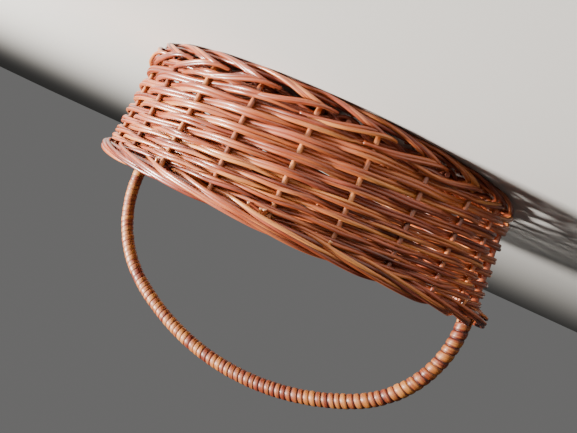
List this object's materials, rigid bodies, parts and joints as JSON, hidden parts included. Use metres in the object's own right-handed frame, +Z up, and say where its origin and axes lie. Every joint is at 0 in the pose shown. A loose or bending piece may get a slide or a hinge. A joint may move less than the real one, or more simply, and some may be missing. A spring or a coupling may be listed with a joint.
{
  "type": "wicker basket",
  "caption": "Shallow round basket of woven willow rods on upright stakes, with a rolled rim border, an openwork foot border and a fixed, cane-wrapped bow handle.",
  "frame": {"origin": "middle of the underside, on the surface that the basket stands on", "axes": "+Z up, X from one handle foot to the other, Y across the handle"},
  "size_m": [0.3312, 0.3312, 0.214],
  "materials": {
    "stake": "varnished willow",
    "weaver": "varnished willow",
    "border": "varnished willow",
    "base": "varnished willow",
    "bow": "varnished rod",
    "cane": "varnished split cane",
    "peg": "bare wood"
  },
  "bodies": {
    "root": {"stake_01": "stake", "stake_02": "stake", "stake_03": "stake", "stake_04": "stake", "stake_05": "stake", "stake_06": "stake", "stake_07": "stake", "stake_08": "stake", "stake_09": "stake", "stake_10": "stake", "stake_11": "stake", "stake_12": "stake", "stake_13": "stake", "stake_14": "stake", "stake_15": "stake", "stake_16": "stake", "stake_17": "stake", "stake_18": "stake", "stake_19": "stake", "stake_20": "stake", "stake_21": "stake", "stake_22": "stake", "weaver_row_01": "weaver", "weaver_row_02": "weaver", "weaver_row_03": "weaver", "weaver_row_04": "weaver", "weaver_row_05": "weaver", "weaver_row_06": "weaver", "weaver_row_07": "weaver", "weaver_row_08": "weaver", "weaver_row_09": "weaver", "weaver_row_10": "weaver", "weaver_row_11": "weaver", "weaver_row_12": "weaver", "weaver_row_13": "weaver", "weaver_row_14": "weaver", "base_stick_1": "base", "base_stick_2": "base", "base_stick_3": "base", "base_stick_4": "base", "base_stick_5": "base", "base_stick_6": "base", "base_ring_1": "base", "base_ring_2": "base", "base_ring_3": "base", "base_ring_4": "base", "base_ring_5": "base", "base_ring_6": "base", "base_ring_7": "base", "base_ring_8": "base", "rim_border": "border", "foot_border": "border", "handle_bow": "bow", "handle_wrap": "cane", "wrap_end_right": "cane", "wrap_end_left": "cane", "bow_peg_right": "peg", "bow_peg_left": "peg"}
  },
  "joints": []
}
